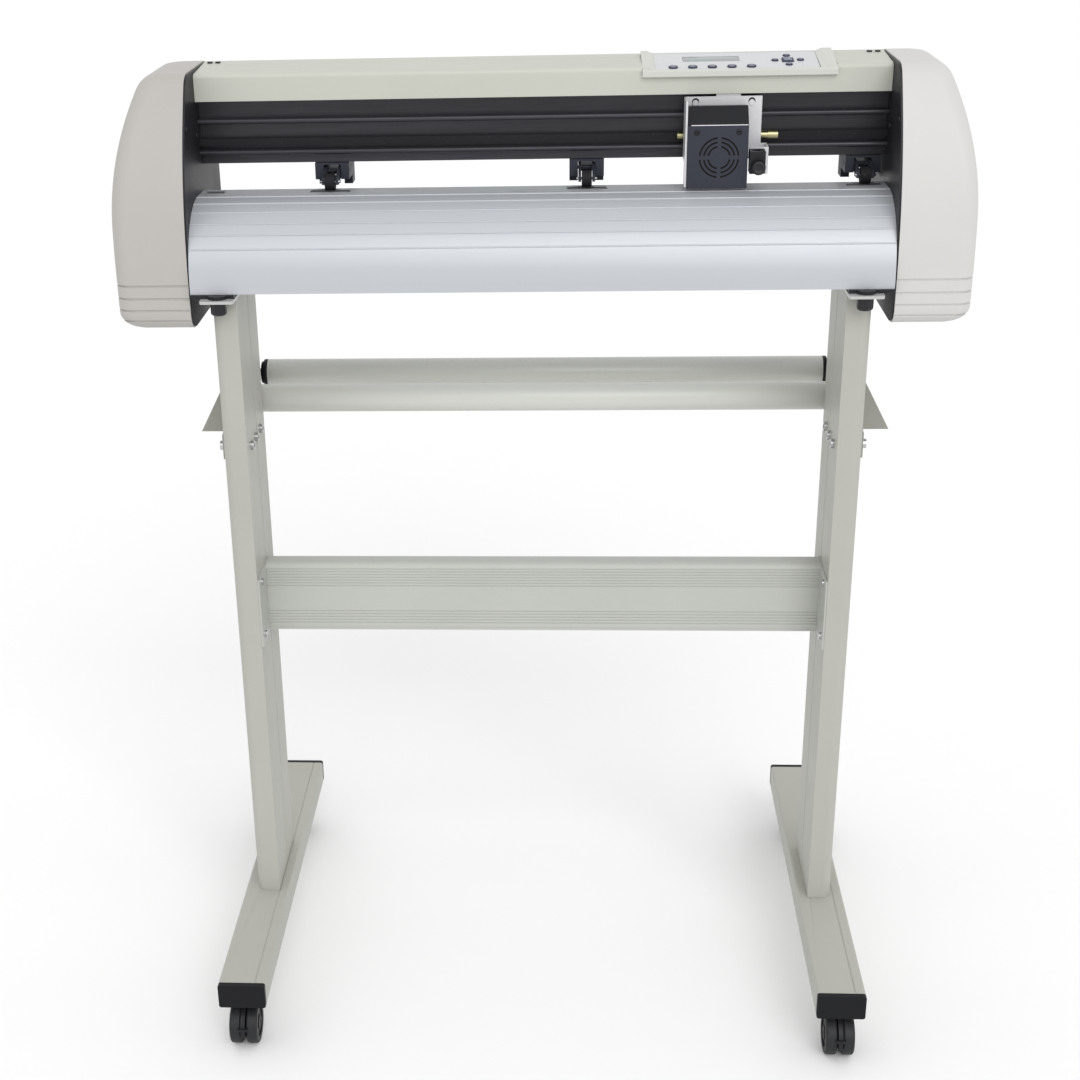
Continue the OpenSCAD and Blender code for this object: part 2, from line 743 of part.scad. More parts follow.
module pinch_arm(x) {
    color("#1f1f23") difference() {
        union() {
            for (s = [-1, 1]) along_x(x + s * 7.6 - 1.4, x + s * 7.6 + 1.4)
                polygon([pinch_axis + [-4, -3], pinch_axis + [4, -4], [56, 961.5], [56, 971.5],
                    [arm_pivot[0] - 4, 971.5], pinch_axis + [-3, 5]]);
            block([x - 9, 52, 962], [x + 9, 104, 966]);
            rod_x(x - 18.5, x + 18.5, arm_pivot[0], arm_pivot[1], 4);
        }
        rod_x(x - 20, x + 20, pinch_axis[0], pinch_axis[1], 3.1);
    }
}

module pinch_wheel(x) {
    color("#303035") {
        rod_x(x - pinch_w / 2, x + pinch_w / 2, pinch_axis[0], pinch_axis[1], 2 * pinch_r);
        rod_x(x - 11.5, x + 11.5, pinch_axis[0], pinch_axis[1], 3);
    }
}

module pinch_slider_left() { pinch_slider(pinch_x[0]); }
module pinch_slider_middle() { pinch_slider(pinch_x[1]); }
module pinch_slider_right() { pinch_slider(pinch_x[2]); }
module pinch_arm_left() { pinch_arm(pinch_x[0]); }
module pinch_arm_middle() { pinch_arm(pinch_x[1]); }
module pinch_arm_right() { pinch_arm(pinch_x[2]); }
module pinch_wheel_left() { pinch_wheel(pinch_x[0]); }
module pinch_wheel_middle() { pinch_wheel(pinch_x[1]); }
module pinch_wheel_right() { pinch_wheel(pinch_x[2]); }

// ---- control panel: drawn flat, with the overlay's surface at height 0 ----
module on_panel() {
    translate([0, panel_front[0], panel_front[1]]) rotate([panel_tilt, 0, 0]) children();
}

module key_places() {
    for (k = function_keys) translate(k) children(0);
    for (d = [[0, 1], [0, -1], [-1, 0], [1, 0]])
        translate(nav_centre + [d[0] * nav_pitch[0], d[1] * nav_pitch[1]]) children(1);
    translate(nav_centre) children(2);
}

// Raised rim at one end of the panel: its inner side slopes down to the overlay's end
module panel_rim(inner, outer) {
    away = sign(outer - inner);
    difference() {
        along_y(-3, overlay_d + 2.5) polygon([[inner, -1], [inner, 0], [inner + away * rim_slope, rim_h],
            [outer, rim_h], [outer, -1]]);
        along_x(min(inner, outer) - 1, max(inner, outer) + 1) polygon([[-4, 0.6], [4, rim_h + 0.5],
            [-4, rim_h + 0.5]]);
    }
}

// Bezel: a sloping tray that hangs over the top cover's front, open to the front between its two end rims
module panel_bezel() {
    color("#d4d3cb") {
        difference() {
            along_x(bezel_x[0], bezel_x[1]) polygon([[18, 1066], [22.8, 1066], [22.8, 1067.4], [89, 1067.4],
                [89, 1082], [19.5, 1072.8], [18, 1071.4]]);
            on_panel() {
                block([overlay_x[0] - 0.1, -0.1, -1.3], [overlay_x[1] + 0.1, overlay_d + 0.1, 6]);
                block([overlay_x[0] + 6, 4, -3.8], [overlay_x[1] - 6, overlay_d - 6, 0]);
            }
        }
        on_panel() {
            panel_rim(overlay_x[0] - 0.1, bezel_x[0]);
            panel_rim(overlay_x[1] + 0.1, bezel_x[1]);
        }
    }
}

module panel_overlay() {
    color("#dcdde2") on_panel() difference() {
        block([overlay_x[0], 0, -1.2], [overlay_x[1], overlay_d, 0]);
        translate([0, 0, -2]) {
            linear_extrude(3) key_places() {
                circle(d = key_d + 0.6);
                circle(d = nav_key_d + 0.6);
                square([enter_key[0] + 0.6, enter_key[1] + 0.6], center = true);
            }
        }
        block([screen[0], screen[2], -0.5], [screen[1], screen[3], 1]);
    }
}

module round_key(p, d) {
    color("#4a5468") on_panel() translate([p[0], p[1], 0]) {
        translate([0, 0, -2.6]) cylinder(d = d, h = 2.6 + 1.1);
        translate([0, 0, -2.6]) cylinder(d = d + 2, h = 1.3);
    }
}

module nav_key(dx, dy) {
    round_key(nav_centre + [dx * nav_pitch[0], dy * nav_pitch[1]], nav_key_d);
}

module key_function_1() { round_key(function_keys[0], key_d); }
module key_function_2() { round_key(function_keys[1], key_d); }
module key_function_3() { round_key(function_keys[2], key_d); }
module key_function_4() { round_key(function_keys[3], key_d); }
module key_function_5() { round_key(function_keys[4], key_d); }
module key_up() { nav_key(0, 1); }
module key_down() { nav_key(0, -1); }
module key_left() { nav_key(-1, 0); }
module key_right() { nav_key(1, 0); }

module key_enter() {
    color("#4a5468") on_panel() translate([nav_centre[0], nav_centre[1], 0]) {
        translate([0, 0, -2.6]) linear_extrude(2.6 + 1.1) square(enter_key, center = true);
        translate([0, 0, -2.6]) linear_extrude(1.3) square([enter_key[0] + 2, enter_key[1] + 2], center = true);
    }
}

// ---- electronics ----
module main_board() {
    color("#2f6b45") {
        block([381, -50, 828], [382.6, 110, 918]);
        for (y = [-44, 104], z = [834, 912]) rod_x(side_x1, 381, y, z, 6);
        for (c = [[-30, 850, 30, 14], [20, 850, 40, 9], [70, 880, 24, 18], [-20, 892, 20, 8]])
            block([382.6, c[0], c[1]], [382.6 + c[3], c[0] + c[2], c[1] + 16]);
    }
}

module power_supply() {
    color("#a8aaad") {
        difference() {
            union() {
                block([-430, 20, 830], [-380, 132, 905]);
                block([-428, 131.9, 836], [-400, 138.4, 860]);
            }
            block([-423, 122, 840], [-405, 140, 856]);
            block([-396.2, 118, 837.6], [-381.8, 140, 858.4]);
        }
        for (y = [40, 110], z = [835, 895]) rod_x(-380, -side_x1, y, z, 6);
    }
}

module power_switch() {
    color("#151518") translate(switch_pos) rotate([-8, 0, 0]) {
        along_x(-6.8, 6.8) polygon([[-4, -7.6], [6, -8], [3.4, 0], [6, 8], [-4, 7.6]]);
        rod_x(-7.1, 7.1, 0, 0, 3);
    }
}

foot_beams();
foot_end_caps();
uprights();
cross_panel();
stand_plates();
roll_brackets();
fasteners();
caster_fork_front_left();
caster_fork_front_right();
caster_fork_rear_left();
caster_fork_rear_right();
caster_wheels_front_left();
caster_wheels_front_right();
caster_wheels_rear_left();
caster_wheels_rear_right();
media_roller_front();
media_roller_rear();
clamp_knob_left();
clamp_knob_right();
side_plates();
side_cover_left();
side_cover_right();
top_cover();
guide_rail();
platen();
panel_bezel();
panel_overlay();
stepper_motors();
main_board();
power_supply();
power_switch();
feed_shaft();
drive_pulley();
idler_pulley();
carriage_belt();
carriage_plate();
carriage_cover();
tool_solenoid();
belt_clamps();
tool_slide();
tool_knob();
key_function_1();
key_function_2();
key_function_3();
key_function_4();
key_function_5();
key_up();
key_down();
key_left();
key_right();
key_enter();
pinch_slider_left();
pinch_slider_middle();
pinch_slider_right();
pinch_arm_left();
pinch_arm_middle();
pinch_arm_right();
pinch_wheel_left();
pinch_wheel_middle();
pinch_wheel_right();
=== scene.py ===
"""Looks of the vinyl cutting plotter: materials, moulded shells, camera and light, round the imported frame."""
import json
import math

import bmesh
import bpy
from mathutils import Matrix, Vector


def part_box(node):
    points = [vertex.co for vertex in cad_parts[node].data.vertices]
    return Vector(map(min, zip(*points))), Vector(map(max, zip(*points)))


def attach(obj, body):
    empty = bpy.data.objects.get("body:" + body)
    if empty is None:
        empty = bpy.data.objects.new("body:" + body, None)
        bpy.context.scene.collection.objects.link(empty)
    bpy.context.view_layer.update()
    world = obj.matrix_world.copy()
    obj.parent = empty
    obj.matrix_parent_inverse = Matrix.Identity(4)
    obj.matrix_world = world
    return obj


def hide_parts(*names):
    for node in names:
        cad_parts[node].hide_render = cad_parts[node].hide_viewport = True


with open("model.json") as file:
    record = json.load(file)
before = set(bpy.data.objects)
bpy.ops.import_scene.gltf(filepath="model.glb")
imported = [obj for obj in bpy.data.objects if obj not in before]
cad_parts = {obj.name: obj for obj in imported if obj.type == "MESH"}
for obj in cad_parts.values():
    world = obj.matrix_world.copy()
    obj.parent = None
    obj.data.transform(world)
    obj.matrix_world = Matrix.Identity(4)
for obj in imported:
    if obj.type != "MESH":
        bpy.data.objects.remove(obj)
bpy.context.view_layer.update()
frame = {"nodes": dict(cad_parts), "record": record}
NODES = frame["nodes"]
MM = 0.001


# ---------------------------------------------------------------- view

def make_camera():
    """The photograph's view: in front, a little right of the middle, turned slightly left, looking down."""
    place = Vector((0.0363, -1.9621, 1.3405))
    yaw, pitch, roll = -0.0747, -0.4176, -0.0274
    forward = Vector((math.sin(yaw) * math.cos(pitch), math.cos(yaw) * math.cos(pitch), math.sin(pitch)))
    level = Vector((math.cos(yaw), -math.sin(yaw), 0))
    upright = level.cross(forward)
    right = level * math.cos(roll) + upright * math.sin(roll)
    up = upright * math.cos(roll) - level * math.sin(roll)
    data = bpy.data.cameras.new("camera")
    data.sensor_width = 36
    data.lens = 59.81
    data.shift_x = 0.0848
    data.shift_y = 0.0529
    camera = bpy.data.objects.new("camera", data)
    turn = Matrix((right, up, -forward)).transposed().to_4x4()
    camera.matrix_world = Matrix.Translation(place) @ turn
    bpy.context.scene.collection.objects.link(camera)
    bpy.context.scene.camera = camera


def make_light(elevation, turn, spread, strength):
    """A very soft light from the camera's side; a turn above 0 moves it to the right. Angles in degrees."""
    data = bpy.data.lights.new("front_light", "SUN")
    data.angle = math.radians(spread)
    data.energy = strength
    light = bpy.data.objects.new("front_light", data)
    light.rotation_euler = (math.radians(90 - elevation), 0, math.radians(turn))
    light.location = (0, -3, 3)
    bpy.context.scene.collection.objects.link(light)


def make_studio():
    """White surroundings, the front light and a plain pale floor."""
    scene = bpy.context.scene
    scene.view_settings.view_transform = "Standard"
    world = bpy.data.worlds.new("studio")
    world.use_nodes = True
    background = world.node_tree.nodes["Background"]
    background.inputs["Color"].default_value = (1.0, 1.0, 1.0, 1)
    background.inputs["Strength"].default_value = 0.95
    scene.world = world
    make_light(elevation=38, turn=16, spread=40, strength=1.25)

    floor = bmesh.new()
    bmesh.ops.create_grid(floor, x_segments=1, y_segments=1, size=30)
    mesh = bpy.data.meshes.new("floor")
    floor.to_mesh(mesh)
    stage = bpy.data.objects.new("floor", mesh)
    scene.collection.objects.link(stage)
    paper = bpy.data.materials.new("paper")
    paper.use_nodes = True
    bsdf = paper.node_tree.nodes["Principled BSDF"]
    bsdf.inputs["Base Color"].default_value = (0.86, 0.86, 0.86, 1)
    bsdf.inputs["Roughness"].default_value = 0.9
    mesh.materials.append(paper)


# ---------------------------------------------------------------- materials

class Surface:
    """One procedural material. Lengths in it are metres, in the object's own coordinates."""

    def __init__(self, name, roughness, metallic=0.0):
        self.material = bpy.data.materials.new(name)
        self.material.use_nodes = True
        self.tree = self.material.node_tree
        self.bsdf = self.tree.nodes["Principled BSDF"]
        self.bsdf.inputs["Metallic"].default_value = metallic
        self.place = self.add("ShaderNodeTexCoord").outputs["Object"]
        self.roughness = roughness

    def add(self, kind, inputs=None, **settings):
        node = self.tree.nodes.new(kind)
        for key, value in settings.items():
            setattr(node, key, value)
        for key, value in (inputs or {}).items():
            if isinstance(value, bpy.types.NodeSocket):
                self.tree.links.new(value, node.inputs[key])
            else:
                node.inputs[key].default_value = value
        return node

    def noise(self, size, detail=3.0, stretch=(1, 1, 1)):
        """Noise with features of the given size, drawn out along the axes in stretch."""
        scale = [1 / (size * s) for s in stretch]
        mapping = self.add("ShaderNodeMapping", {"Vector": self.place, "Scale": scale})
        noise = self.add("ShaderNodeTexNoise", {"Vector": mapping.outputs[0], "Scale": 1.0, "Detail": detail})
        return noise.outputs["Fac"]

    def remap(self, value, low, high, to_low, to_high):
        inputs = {"Value": value, "From Min": low, "From Max": high, "To Min": to_low, "To Max": to_high}
        return self.add("ShaderNodeMapRange", inputs).outputs["Result"]

    def math(self, operation, a, b):
        return self.add("ShaderNodeMath", {0: a, 1: b}, operation=operation).outputs[0]

    def mix(self, amount, a, b):
        node = self.add("ShaderNodeMix", {"Factor": amount}, data_type="RGBA", blend_type="MIX")
        for key, value in ((6, a), (7, b)):
            if isinstance(value, bpy.types.NodeSocket):
                self.tree.links.new(value, node.inputs[key])
            else:
                node.inputs[key].default_value = (*value, 1)
        return node.outputs[2]

    def edges(self, radius):
        """A mask that is 1 on the edges within the given radius."""
        bevel = self.add("ShaderNodeBevel", {"Radius": radius}, samples=4)
        flat = self.add("ShaderNodeNewGeometry").outputs["Normal"]
        dot = self.add("ShaderNodeVectorMath", {0: bevel.outputs[0], 1: flat}, operation="DOT_PRODUCT")
        return self.remap(dot.outputs["Value"], 0.98, 0.75, 0, 1)

    def link(self, socket, value):
        self.tree.links.new(value, self.bsdf.inputs[socket])

    def bump(self, height, distance):
        node = self.add("ShaderNodeBump", {"Height": height, "Distance": distance, "Strength": 1.0})
        self.link("Normal", node.outputs[0])


def shade(colour, factor):
    """A colour made lighter or darker."""
    return tuple(c * factor for c in colour)


def finish(name, colour, roughness, metallic=0.0, grain=0.0006, relief=0.00003, spread=0.06,
           blotch=0.12, stretch=(1, 1, 1), edge_wear_and_highlight=None, dust=0.0, coat=0.0, specular=0.5, beyond=None):
    """A painted, moulded or machined surface: slow colour drift, fine grain, uneven gloss, and edges lightened
    partly as rubbed wear and partly as a painted edge highlight.

    With beyond = (axis, place, colour, metallic), everything past that place has another colour; on the
    carriage cover's top that colour is painted shade.
    """
    s = Surface(name, roughness, metallic)
    drift = s.noise(blotch, 4, stretch)
    fine = s.noise(grain, 2, stretch)
    tint = s.mix(s.remap(drift, 0.3, 0.7, 0, 1), shade(colour, 1 - spread), shade(colour, 1 + spread * 0.6))
    tint = s.mix(s.remap(fine, 0.3, 0.7, 0, 0.35), tint, shade(colour, 1 - 1.6 * spread))
    if dust:
        specks = s.remap(s.noise(grain * 5, 6), 0.62, 0.75, 0, dust)
        tint = s.mix(specks, tint, (0.45, 0.44, 0.42))
    # Painted edge highlight, partly also rubbed wear: convex edges are mixed towards a lighter colour
    if edge_wear_and_highlight:
        rubbed_and_lit_edges = s.math("MULTIPLY", s.edges(0.0012), s.remap(s.noise(0.01, 4), 0.35, 0.65, 0.15, 1))
        tint = s.mix(s.math("MULTIPLY", rubbed_and_lit_edges, 0.55), tint, edge_wear_and_highlight)
    if beyond:
        axis, place, other, other_metallic = beyond
        along = s.add("ShaderNodeSeparateXYZ", {"Vector": s.place}).outputs[axis]
        past = s.math("GREATER_THAN", along, place)
        other_tint = s.mix(s.remap(fine, 0.3, 0.7, 0, 1), shade(other, 1 - spread), other)
        tint = s.mix(past, tint, other_tint)
        s.link("Metallic", s.remap(past, 0, 1, metallic, other_metallic))
    s.link("Base Color", tint)
    smudge = s.math("ADD", s.remap(drift, 0.3, 0.7, -0.06, 0.07), s.remap(fine, 0.3, 0.7, -0.04, 0.04))
    s.link("Roughness", s.math("ADD", smudge, roughness))
    s.bump(fine, relief)
    s.bsdf.inputs["Coat Weight"].default_value = coat
    s.bsdf.inputs["Specular IOR Level"].default_value = specular
    return s.material


# Places in metres past which a part of one node has another finish
HEAD_SCREWS_Z = 0.95    # screws above this height are black
PLATE_BACK_Y = 0.0288   # the guide rollers behind the carriage plate are dark
COVER_TOP_SHADE_Z = 1.0196    # painted shade: the sloping top of the carriage cover is coloured darker

MATERIALS = {
    "stand_paint": finish("stand_paint", (0.398, 0.397, 0.36), 0.45, spread=0.035, specular=0.35,
                          edge_wear_and_highlight=(0.56, 0.56, 0.53)),
    "panel_paint": finish("panel_paint", (0.435, 0.443, 0.414), 0.45, spread=0.03, specular=0.35),
    "bracket_paint": finish("bracket_paint", (0.31, 0.307, 0.276), 0.45, spread=0.04, specular=0.3),
    "roller_paint": finish("roller_paint", (0.57, 0.577, 0.538), 0.32, spread=0.035, stretch=(6, 1, 1)),
    "cap_plastic": finish("cap_plastic", (0.0069, 0.00736, 0.00902), 0.5, spread=0.2, specular=0.18,
                          edge_wear_and_highlight=(0.04, 0.04, 0.045)),
    "caster_plastic": finish("caster_plastic", (0.012, 0.0125, 0.0145), 0.42, spread=0.2, specular=0.25,
                             edge_wear_and_highlight=(0.05, 0.05, 0.055)),
    "tread": finish("tread", (0.016, 0.017, 0.019), 0.5, spread=0.25, dust=0.08, specular=0.3,
                    edge_wear_and_highlight=(0.06, 0.06, 0.065)),
    "steel": finish("steel", (0.55, 0.55, 0.56), 0.3, 1.0, spread=0.08,
                    beyond=("Z", HEAD_SCREWS_Z, (0.02, 0.02, 0.022), 0.2)),
    "plate_silver": finish("plate_silver", (0.48, 0.48, 0.47), 0.35, 0.3, spread=0.05, edge_wear_and_highlight=(0.8, 0.8, 0.8)),
    "knob_plastic": finish("knob_plastic", (0.008, 0.008, 0.011), 0.3, spread=0.2, specular=0.4,
                           edge_wear_and_highlight=(0.04, 0.04, 0.045)),
    # Painted light and shade: both side covers are one plastic; the left is coloured darker and the right
    # lighter, standing in for light from the right
    "cover_left": finish("cover_left", (0.413, 0.396, 0.375), 0.45, spread=0.025, grain=0.0009,
                         relief=0.00004, specular=0.35),
    "cover_right": finish("cover_right", (0.546, 0.537, 0.524), 0.45, spread=0.025, grain=0.0009,
                          relief=0.00004, specular=0.35),
    "cover_top": finish("cover_top", (0.482, 0.49, 0.436), 0.42, spread=0.025, specular=0.35,
                        edge_wear_and_highlight=(0.6, 0.6, 0.56)),
    "black_metal": finish("black_metal", (0.014, 0.0145, 0.018), 0.45, spread=0.25, specular=0.25, dust=0.03,
                          edge_wear_and_highlight=(0.07, 0.07, 0.08)),
    "black_anodised": finish("black_anodised", (0.05, 0.049, 0.058), 0.34, 0.4, spread=0.45, specular=0.4,
                             blotch=0.02, stretch=(60, 1, 1), edge_wear_and_highlight=(0.16, 0.16, 0.18)),
    "silver_anodised": finish("silver_anodised", (0.457, 0.476, 0.504), 0.44, 0.25, spread=0.02,
                              stretch=(80, 1, 1), grain=0.0004, relief=0.000008, edge_wear_and_highlight=(0.62, 0.64, 0.67)),
    "panel_plastic": finish("panel_plastic", (0.53, 0.537, 0.498), 0.42, spread=0.025, grain=0.0008,
                            specular=0.35),
    "panel_film": finish("panel_film", (0.521, 0.532, 0.547), 0.3, spread=0.015, coat=0.15),
    "key_rubber": finish("key_rubber", (0.035, 0.04, 0.07), 0.55, spread=0.15, specular=0.3,
                         edge_wear_and_highlight=(0.1, 0.11, 0.15)),
    "grit_steel": finish("grit_steel", (0.22, 0.22, 0.23), 0.6, 0.8, spread=0.3, grain=0.0005, relief=0.0002),
    "pulley_metal": finish("pulley_metal", (0.55, 0.55, 0.57), 0.3, 1.0, spread=0.06),
    "belt_rubber": finish("belt_rubber", (0.012, 0.012, 0.014), 0.7, spread=0.3, specular=0.25, dust=0.06),
    "motor_metal": finish("motor_metal", (0.03, 0.03, 0.034), 0.4, 0.4, spread=0.2),
    "board_green": finish("board_green", (0.02, 0.12, 0.05), 0.4, spread=0.2, grain=0.002),
    "supply_metal": finish("supply_metal", (0.5, 0.5, 0.5), 0.35, 0.9, spread=0.1, stretch=(1, 10, 1)),
    "carriage_metal": finish("carriage_metal", (0.65, 0.65, 0.67), 0.38, 0.3, spread=0.05, stretch=(1, 1, 12),
                             beyond=("Y", PLATE_BACK_Y, (0.03, 0.03, 0.034), 0)),
    # Painted shade: above the crease the carriage cover's sloping top is coloured darker than its front
    "carriage_plastic": finish("carriage_plastic", (0.0331, 0.0371, 0.0513), 0.5, spread=0.15, grain=0.0008,
                               relief=0.00005, specular=0.22, edge_wear_and_highlight=(0.075, 0.08, 0.1),
                               beyond=("Z", COVER_TOP_SHADE_Z, (0.010, 0.0105, 0.0135), 0)),
    "coil_tape": finish("coil_tape", (0.014, 0.013, 0.012), 0.45, spread=0.3, specular=0.2),
    "brass": finish("brass", (0.40, 0.37, 0.21), 0.3, 1.0, spread=0.12, edge_wear_and_highlight=(0.6, 0.53, 0.35)),
    "display": finish("display", (0.335, 0.356, 0.356), 0.18, spread=0.03, coat=0.4),
    # Painted highlight: the lighter colour of the domes in the middle of the keys
    "painted_key_highlight": finish("painted_key_highlight", (0.13, 0.135, 0.2), 0.35, spread=0.08, coat=0.2),
}


# ---------------------------------------------------------------- CAD nodes

BEVELS = {
    "foot_end_caps": 1.2, "uprights": 0.6, "foot_beams": 0.5, "cross_panel": 0.25, "roll_brackets": 0.4,
    "top_cover": 0.4, "guide_rail": 0.3, "platen": 0.2, "panel_bezel": 0.6, "side_plates": 0.2,
    "fasteners": 0.6, "carriage_cover": 0.7, "carriage_plate": 0.3, "stand_plates": 0.4,
}
SMALL_BEVEL = 0.35


def dress(name, slot):
    """Gives a CAD node its material, softened edges and smooth shading."""
    node = NODES[name]
    node.data.materials.clear()
    node.data.materials.append(MATERIALS[slot])
    weld = node.modifiers.new("weld", "WELD")
    weld.merge_threshold = 0.00001
    bevel = node.modifiers.new("bevel", "BEVEL")
    bevel.width = BEVELS.get(name, SMALL_BEVEL) * MM
    bevel.segments = 2
    bevel.limit_method = "ANGLE"
    bevel.angle_limit = math.radians(38)
    bevel.harden_normals = False
    normals = node.modifiers.new("normals", "WEIGHTED_NORMAL")
    normals.keep_sharp = False
    normals.weight = 100


def dress_all():
    """Dresses every CAD node with the material of its slot."""
    for part in frame["record"]["subparts"]:
        dress(part["node"], part["material_slot"])


# ---------------------------------------------------------------- new pieces

def piece(name, bm, slot, body, replaces=None):
    """Turns a bmesh in millimetres into a piece that rides on a body."""
    bmesh.ops.recalc_face_normals(bm, faces=bm.faces)
    bm.transform(Matrix.Scale(MM, 4))
    mesh = bpy.data.meshes.new(name)
    bm.to_mesh(mesh)
    bm.free()
    for polygon in mesh.polygons:
        polygon.use_smooth = True
    mesh.materials.append(MATERIALS[slot])
    obj = bpy.data.objects.new(name, mesh)
    bpy.context.scene.collection.objects.link(obj)
    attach(obj, body)
    if replaces:
        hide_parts(replaces)
    return obj


def bridge(bm, rings, closed):
    """Faces between rings of equally many points."""
    loops = [[bm.verts.new(p) for p in ring] for ring in rings]
    count = len(rings[0])
    for a, b in zip(loops, loops[1:]):
        for i in range(count if closed else count - 1):
            j = (i + 1) % count
            bm.faces.new((a[i], a[j], b[j], b[i]))
    return loops


def lathe(bm, profile, centre, axis, steps=48, closed=False, ripple=None):
    """Turns a profile of (radius, place along the axis) round an axis. A ripple is (count, depth)."""
    along = "xyz".index(axis)
    u, v = (along + 1) % 3, (along + 2) % 3

    def ring(radius, height):
        points = []
        for i in range(steps):
            turn = 2 * math.pi * i / steps
            flute = ripple[1] * math.cos(ripple[0] * turn) if ripple else 0
            point = list(centre)
            point[along] += height
            point[u] += (radius + flute) * math.cos(turn)
            point[v] += (radius + flute) * math.sin(turn)
            points.append(point)
        return points

    rings = [ring(*p) for p in profile]
    loops = bridge(bm, rings, closed=True)
    if closed:
        for i in range(steps):
            j = (i + 1) % steps
            bm.faces.new((loops[-1][i], loops[-1][j], loops[0][j], loops[0][i]))
    else:
        bm.faces.new(loops[0])
        bm.faces.new(loops[-1])


def box_mm(node):
    """The corners of a CAD node's box in millimetres."""
    low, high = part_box(node)
    return [v / MM for v in low], [v / MM for v in high]


def soften(obj, width, segments=2, angle=38):
    """Rounds a piece's sharp edges and evens out its shading."""
    bevel = obj.modifiers.new("bevel", "BEVEL")
    bevel.width = width * MM
    bevel.segments = segments
    bevel.limit_method = "ANGLE"
    bevel.angle_limit = math.radians(angle)
    normals = obj.modifiers.new("normals", "WEIGHTED_NORMAL")
    normals.keep_sharp = False
    return obj


def slab(bm, outline, low, high):
    """A plate with an XY outline between two heights."""
    loops = bridge(bm, [[(x, y, z) for x, y in outline] for z in (low, high)], closed=True)
    bm.faces.new(loops[0])
    bm.faces.new(loops[-1])


def round_rectangle(x0, y0, x1, y1, radius, steps=5):
    """Points round a rectangle with round corners."""
    corners = ((x1 - radius, y0 + radius, -90), (x1 - radius, y1 - radius, 0),
               (x0 + radius, y1 - radius, 90), (x0 + radius, y0 + radius, 180))
    points = []
    for x, y, start in corners:
        for i in range(steps + 1):
            turn = math.radians(start + 90 * i / steps)
            points.append((x + radius * math.cos(turn), y + radius * math.sin(turn)))
    return points


def crown(z, centre, radius, corner, top):
    """How far an edge lies inside its widest line at height z: a large arc that ends in a corner arc."""
    if z <= centre:
        return 0
    sine = (top - corner - centre) / (radius - corner)
    if z < centre + radius * sine:
        return radius - math.sqrt(radius ** 2 - (z - centre) ** 2)
    reach = (radius - corner) * math.sqrt(1 - sine ** 2)
    return radius - reach - math.sqrt(max(corner ** 2 - (z - top + corner) ** 2, 0))


def foot_round(z, bottom, radius):
    """How far an edge lies inside its widest line at height z, for a plain corner arc at the bottom."""
    if z >= bottom + radius:
        return 0
    return radius - math.sqrt(max(radius ** 2 - (bottom + radius - z) ** 2, 0))


COVER_WALL = 2.5
COVER_GROOVES = (11, 23, 36, 50)    # heights above the bottom edge
OUTER_BOW = (930, 350, 24)          # centre height, large radius and top corner radius of each bowed face
FRONT_BOW = (880, 340, 24)
BACK_CORNER = 40
BOTTOM_ROUND, BACK_ROUND, UPRIGHT_ROUND = 20, 10, 18


def side_cover(side, slot):
    """A moulded cover: level slices with rounded outer corners, bowed outwards, grooved near the bottom."""
    node = f"side_cover_{side}"
    low, high = box_mm(node)
    sign = -1 if side == "left" else 1
    inner = min(abs(low[0]), abs(high[0]))
    outer = max(abs(low[0]), abs(high[0]))
    front, back = low[1], high[1]
    bottom, top = low[2], high[2]
    grooves = [bottom + h for h in COVER_GROOVES]
    groove_depth, groove_half = 1.3, 1.3

    levels = [bottom + BOTTOM_ROUND * (1 - math.cos(math.radians(a))) for a in range(0, 90, 10)]
    levels += [bottom + BOTTOM_ROUND + 8 * i for i in range(29)]
    levels += [top - 26 + 26 * math.sin(math.radians(a)) for a in range(0, 91, 6)]
    levels = [z for z in levels if all(abs(z - g) > 2.2 for g in grooves)]
    levels += [g + d * groove_half for g in grooves for d in (-1.5, -1, -0.35, 0.35, 1, 1.5)]

    def outline(z):
        cut = 0
        for g in grooves:
            if abs(z - g) < groove_half * 0.9:
                cut = groove_depth
        x1 = outer - crown(z, *OUTER_BOW, top) - foot_round(z, bottom, BOTTOM_ROUND) - cut
        y0 = front + crown(z, *FRONT_BOW, top) + foot_round(z, bottom, BOTTOM_ROUND) + cut
        y1 = back - crown(z, top - 41, 10000, BACK_CORNER, top) - foot_round(z, bottom, BACK_ROUND) - cut
        radius = UPRIGHT_ROUND
        points = [(inner + (x1 - radius - inner) * i / 4, y0) for i in range(4)]
        for a in range(-90, 1, 9):
            t = math.radians(a)
            points.append((x1 - radius + radius * math.cos(t), y0 + radius + radius * math.sin(t)))
        points += [(x1, y0 + radius + (y1 - y0 - 2 * radius) * i / 8) for i in range(1, 8)]
        for a in range(0, 91, 9):
            t = math.radians(a)
            points.append((x1 - radius + radius * math.cos(t), y1 - radius + radius * math.sin(t)))
        points += [(inner + (x1 - radius - inner) * i / 4, y1) for i in (3, 2, 1, 0)]
        return [(sign * x, y, z) for x, y in points]

    bm = bmesh.new()
    loops = bridge(bm, [outline(z) for z in sorted(levels)], closed=False)
    bm.faces.new(loops[0])
    bm.faces.new(loops[-1])
    cover = piece(f"{node}_shell", bm, slot, "root", node)
    wall = cover.modifiers.new("wall", "SOLIDIFY")
    wall.thickness = COVER_WALL * MM
    wall.offset = -1
    soften(cover, 0.5, angle=50)


TUBE_HALF, TUBE_WALL = 341, 1.5


